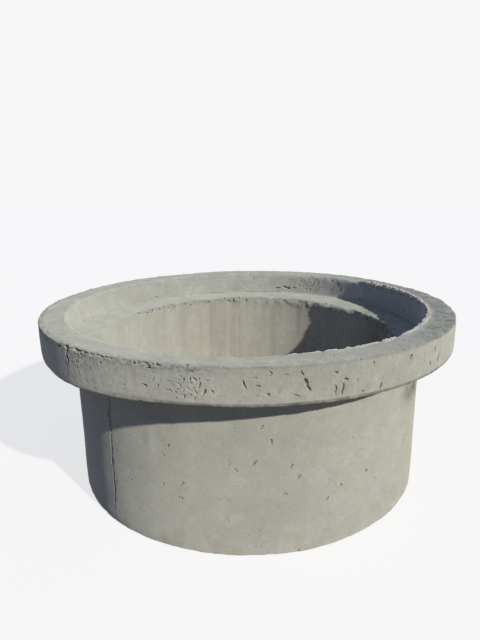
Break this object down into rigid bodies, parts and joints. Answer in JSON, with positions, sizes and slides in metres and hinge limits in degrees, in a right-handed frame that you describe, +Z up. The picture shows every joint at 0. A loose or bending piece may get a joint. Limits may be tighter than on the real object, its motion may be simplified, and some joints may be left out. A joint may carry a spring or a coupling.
{
  "type": "reinforced concrete ring",
  "caption": "Precast well or manhole ring: a plain round body under a wide collar, rebated inside as a socket and ledge for the foot of the next ring.",
  "frame": {"origin": "centre of the foot, on the floor the ring stands on", "axes": "+Z up along the ring's axis, -Y towards the viewer of the picture, +X to the viewer's right"},
  "size_m": [1.4, 1.3997, 0.59],
  "materials": {
    "concrete": "matte"
  },
  "bodies": {
    "root": {"concrete_ring": "concrete"}
  },
  "joints": []
}
